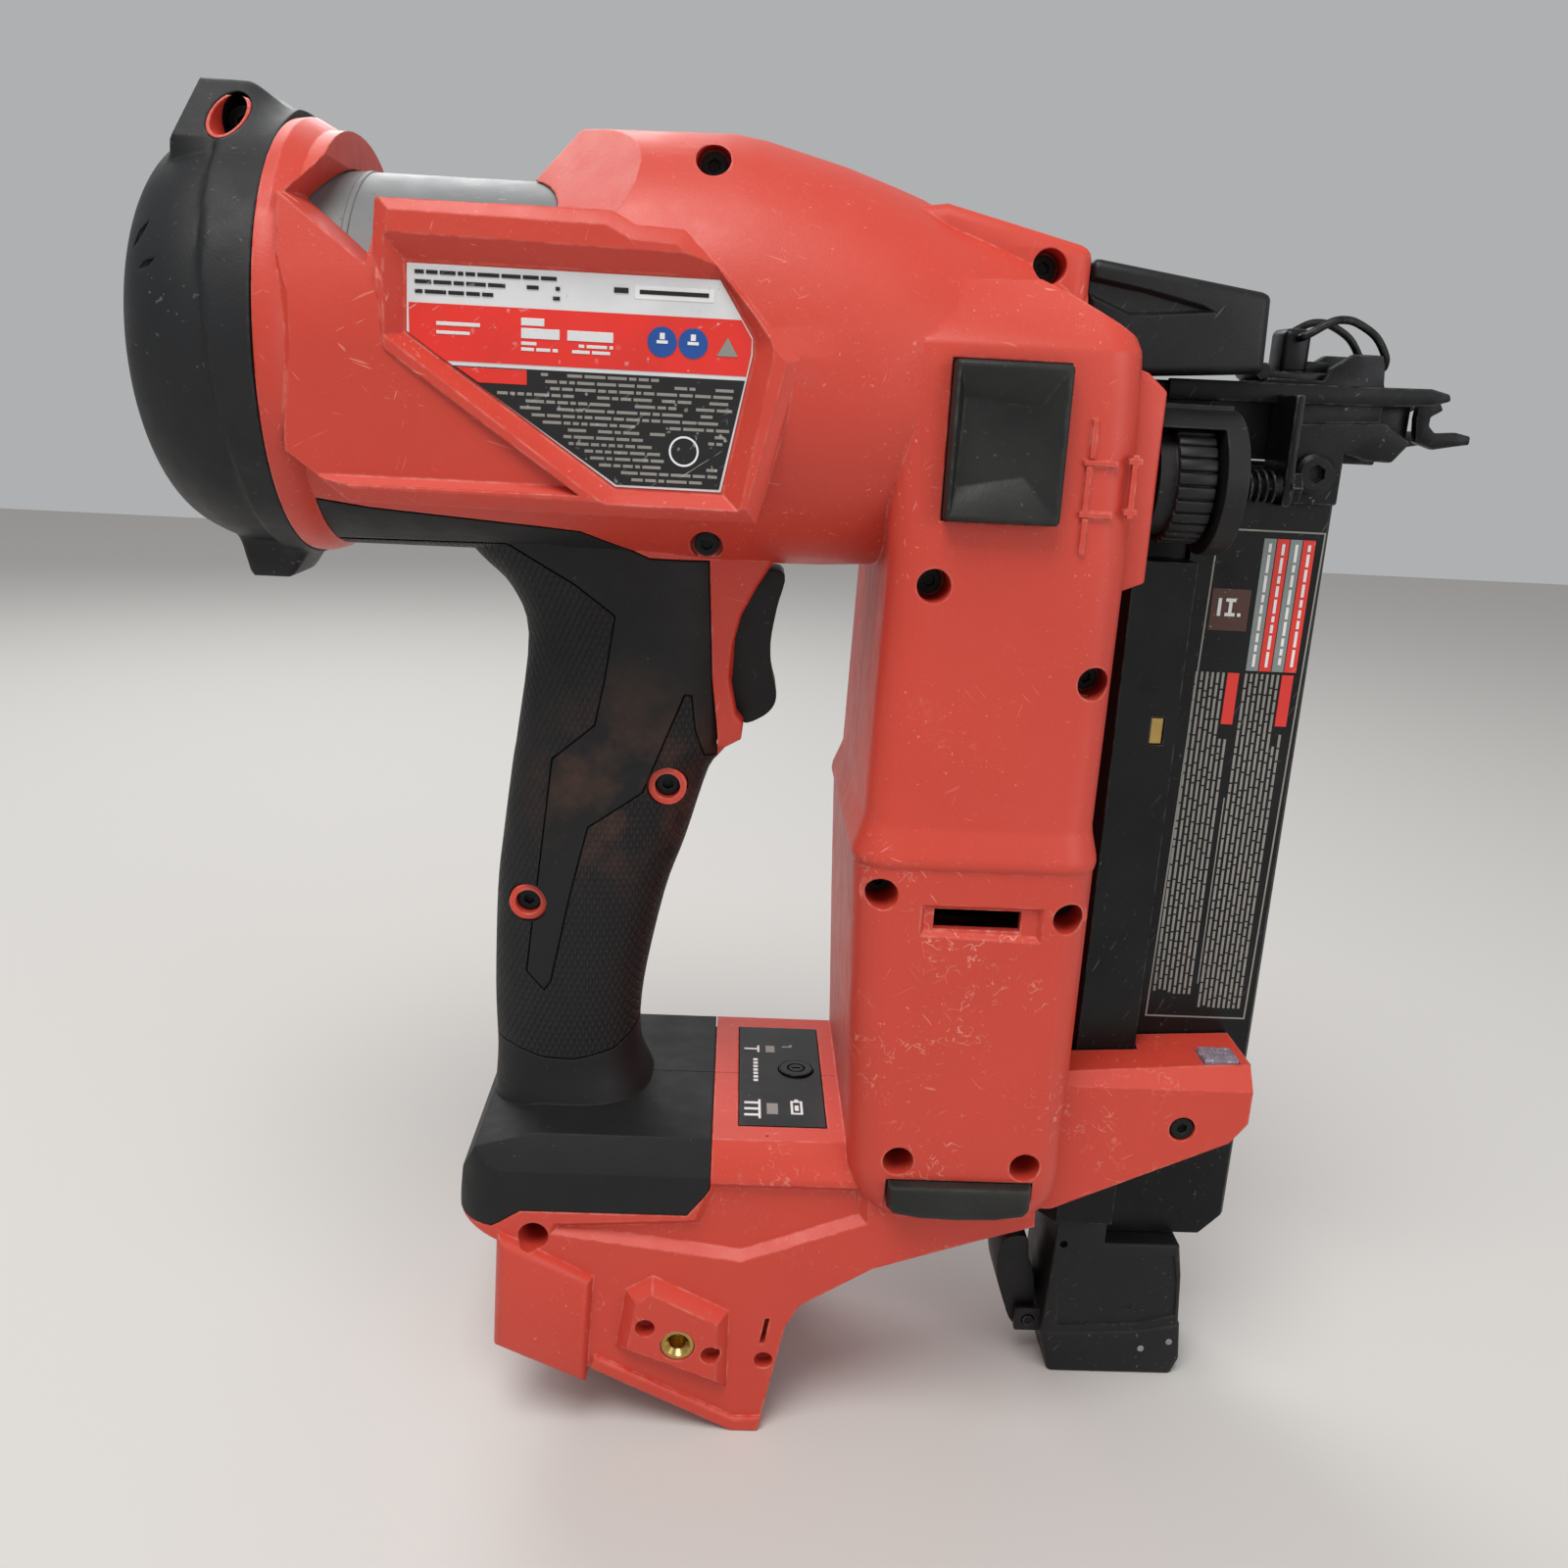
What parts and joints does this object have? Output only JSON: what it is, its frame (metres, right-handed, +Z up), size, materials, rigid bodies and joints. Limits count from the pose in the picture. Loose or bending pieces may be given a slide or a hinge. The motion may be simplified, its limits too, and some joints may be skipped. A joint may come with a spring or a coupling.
{
  "type": "cordless brad nailer",
  "caption": "Cordless brad nailer with a barrel over a rubber-covered handle, a motor column, an upright sliding nail magazine, a nose with a work contact and a battery foot.",
  "frame": {"origin": "bottom centre of the tool's box, on the surface it stands on, midway between its left and right sides", "axes": "+X is the direction in which nails are driven, +Z is up and +Y is towards the tool's right-hand side"},
  "size_m": [0.295, 0.092, 0.307],
  "materials": {
    "red_plastic": "fine-grained moulded nylon, scuffed",
    "grip_rubber": "soft textured overmould",
    "bumper_rubber": "smooth dark grey-green rubber",
    "black_plastic": "fine-grained black nylon",
    "gloss_panel": "smooth black keypad",
    "tank_grey": "satin grey paint",
    "black_metal": "satin black coating, worn at the edges",
    "black_alloy": "black anodised, worn bright at the edges",
    "dark_steel": "blackened steel, greasy and worn at the edges",
    "bright_steel": "ground steel",
    "cast_alloy": "die-cast",
    "motor_winding": "lacquered laminations and copper windings",
    "circuit_board": "solder mask",
    "brass": "turned, slightly tarnished",
    "clear_lens": "clear moulded lens"
  },
  "bodies": {
    "tool_body": {"left_housing": "red_plastic", "right_housing": "red_plastic", "left_grip": "grip_rubber", "right_grip": "grip_rubber", "rear_cap": "black_plastic", "pressure_tank": "tank_grey", "drive_cylinder": "bright_steel", "piston_bumper": "bumper_rubber", "drive_frame": "cast_alloy", "motor_stator": "motor_winding", "gearbox_case": "cast_alloy", "control_board": "circuit_board", "nose_cover": "black_plastic", "nose_body": "dark_steel", "nose_screw": "black_metal", "contact_spring": "bright_steel", "depth_guard": "black_plastic", "magazine_rail": "black_alloy", "nail_window": "brass", "trigger_pin": "bright_steel", "trigger_switch": "black_plastic", "trigger_spring": "bright_steel", "control_panel": "gloss_panel", "terminal_block": "black_plastic", "left_hook_insert": "brass", "right_hook_insert": "brass", "lamp_lens": "clear_lens", "left_upper_bumper": "bumper_rubber", "left_lower_bumper": "bumper_rubber", "right_upper_bumper": "bumper_rubber", "right_lower_bumper": "bumper_rubber", "screw_barrel_top": "black_metal", "screw_hood": "black_metal", "screw_barrel_bottom": "black_metal", "screw_column_top": "black_metal", "screw_grip_top": "black_metal", "screw_grip_low": "black_metal", "screw_column_rear": "black_metal", "screw_column_front": "black_metal", "screw_column_side": "black_metal", "screw_foot_rear": "black_metal", "screw_column_low_rear": "black_metal", "screw_column_low_front": "black_metal", "screw_arm": "black_metal"},
    "trigger": {"trigger": "black_plastic"},
    "work_contact": {"work_contact": "dark_steel"},
    "depth_wheel": {"depth_wheel": "black_plastic"},
    "jam_door": {"jam_door": "dark_steel"},
    "latch_wire": {"latch_wire": "dark_steel"},
    "magazine_cover": {"magazine_slide": "black_alloy", "magazine_end_cap": "black_plastic", "latch_pin": "bright_steel"},
    "latch_lever": {"latch_lever": "black_plastic"},
    "pusher": {"pusher": "bright_steel", "pusher_spring": "bright_steel"},
    "driver": {"driver": "bright_steel"},
    "motor_rotor": {"motor_rotor": "bright_steel"},
    "lifter_wheel": {"lifter_wheel": "bright_steel"},
    "mode_button": {"mode_button": "gloss_panel"}
  },
  "joints": [
    {"name": "trigger_pull", "type": "hinge", "parent": "tool_body", "child": "trigger", "pos_m": [-0.02, 0, 0.205], "axis": [0, 1, 0], "range_deg": [0, 9], "stiffness_Nm_per_rad": 0.3, "springref_deg": -5.73, "deforming": ["trigger_spring"]},
    {"name": "contact_slide", "type": "slide", "parent": "tool_body", "child": "work_contact", "axis": [-1, 0, 0], "range_m": [0, 0.008], "stiffness_N_per_m": 300, "springref_m": -0.01, "deforming": ["contact_spring"]},
    {"name": "depth_wheel_turn", "type": "hinge", "parent": "tool_body", "child": "depth_wheel", "pos_m": [0.074, -0.0212, 0.236], "axis": [1, 0, 0], "continuous": true},
    {"name": "jam_door_hinge", "type": "hinge", "parent": "tool_body", "child": "jam_door", "pos_m": [0.0985, 0, 0.2604], "axis": [0, -1, 0], "range_deg": [0, 38]},
    {"name": "latch_wire_hinge", "type": "hinge", "parent": "jam_door", "child": "latch_wire", "pos_m": [0.106, 0, 0.268], "axis": [0, -1, 0], "range_deg": [0, 50]},
    {"name": "magazine_slide", "type": "slide", "parent": "tool_body", "child": "magazine_cover", "axis": [0, 0, -1], "range_m": [0, 0.1]},
    {"name": "latch_lever_hinge", "type": "hinge", "parent": "magazine_cover", "child": "latch_lever", "pos_m": [0.069, 0, 0.013], "axis": [0, 1, 0], "range_deg": [0, 8], "stiffness_Nm_per_rad": 0.2, "springref_deg": -5.73},
    {"name": "pusher_feed", "type": "slide", "parent": "magazine_cover", "child": "pusher", "axis": [0, 0, -1], "range_m": [0, 0.15], "stiffness_N_per_m": 40, "springref_m": -0.12},
    {"name": "driver_stroke", "type": "slide", "parent": "tool_body", "child": "driver", "axis": [-1, 0, 0], "range_m": [0, 0.08], "stiffness_N_per_m": 300, "springref_m": -0.1},
    {"name": "rotor_spin", "type": "hinge", "parent": "tool_body", "child": "motor_rotor", "pos_m": [0.0385, 0, 0.086], "axis": [0, 0, 1], "continuous": true},
    {"name": "lifter_spin", "type": "hinge", "parent": "tool_body", "child": "lifter_wheel", "pos_m": [0.0385, 0.0156, 0.244], "axis": [0, 0, 1], "continuous": true},
    {"name": "mode_button_press", "type": "slide", "parent": "tool_body", "child": "mode_button", "axis": [0, 0, -1], "range_m": [0, 0.0006], "stiffness_N_per_m": 100, "springref_m": -0.002}
  ],
  "couplings": [
    {"joint": "lifter_spin", "follows": "rotor_spin", "ratio": -0.26923}
  ]
}
